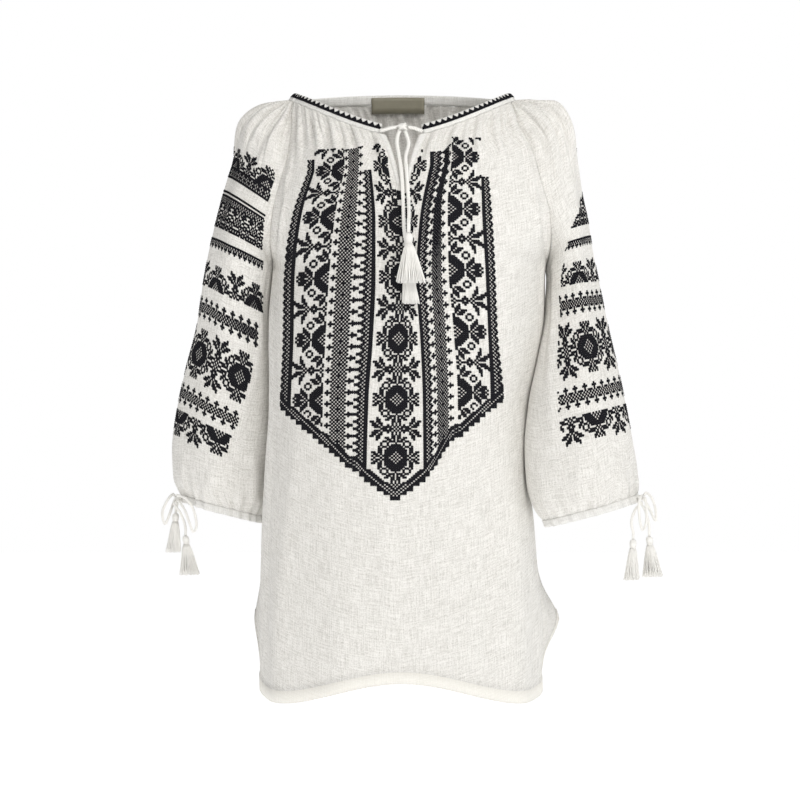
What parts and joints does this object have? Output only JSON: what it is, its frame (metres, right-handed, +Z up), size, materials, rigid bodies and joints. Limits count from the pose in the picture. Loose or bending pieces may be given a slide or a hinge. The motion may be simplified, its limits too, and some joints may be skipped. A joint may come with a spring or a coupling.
{
  "type": "embroidered peasant blouse",
  "caption": "Loose gathered linen blouse with raglan sleeves, drawstring neck with a front slit, gathered cuffs and tasselled ties, filled out as if worn.",
  "frame": {"origin": "middle of the neck opening, where the wearer holds the blouse up", "axes": "+X to the viewer's right as the front is seen, -Y out of the front, +Z up"},
  "size_m": [0.576, 0.263, 0.7095],
  "materials": {
    "linen": "plain-woven off-white linen and cotton with slubs",
    "trim": "doubled white linen",
    "label": "blank woven label",
    "cord": "twisted white cotton cord"
  },
  "bodies": {
    "root": {"front": "linen", "back": "linen", "sleeve_left": "linen", "sleeve_right": "linen", "neckband": "trim", "cuff_left": "trim", "cuff_right": "trim", "slit_binding_left": "trim", "slit_binding_right": "trim", "label": "label", "neck_knot": "cord", "neck_cord_left": "cord", "neck_cord_right": "cord", "neck_end_rear": "cord", "neck_end_front": "cord", "neck_tassel_front": "cord", "neck_tassel_rear": "cord", "wrist_left_knot": "cord", "wrist_left_loop_one": "cord", "wrist_left_loop_two": "cord", "wrist_left_end_one": "cord", "wrist_left_end_two": "cord", "wrist_left_tassel_one": "cord", "wrist_left_tassel_two": "cord", "wrist_right_knot": "cord", "wrist_right_loop_one": "cord", "wrist_right_loop_two": "cord", "wrist_right_end_one": "cord", "wrist_right_end_two": "cord", "wrist_right_tassel_one": "cord", "wrist_right_tassel_two": "cord"}
  },
  "joints": []
}
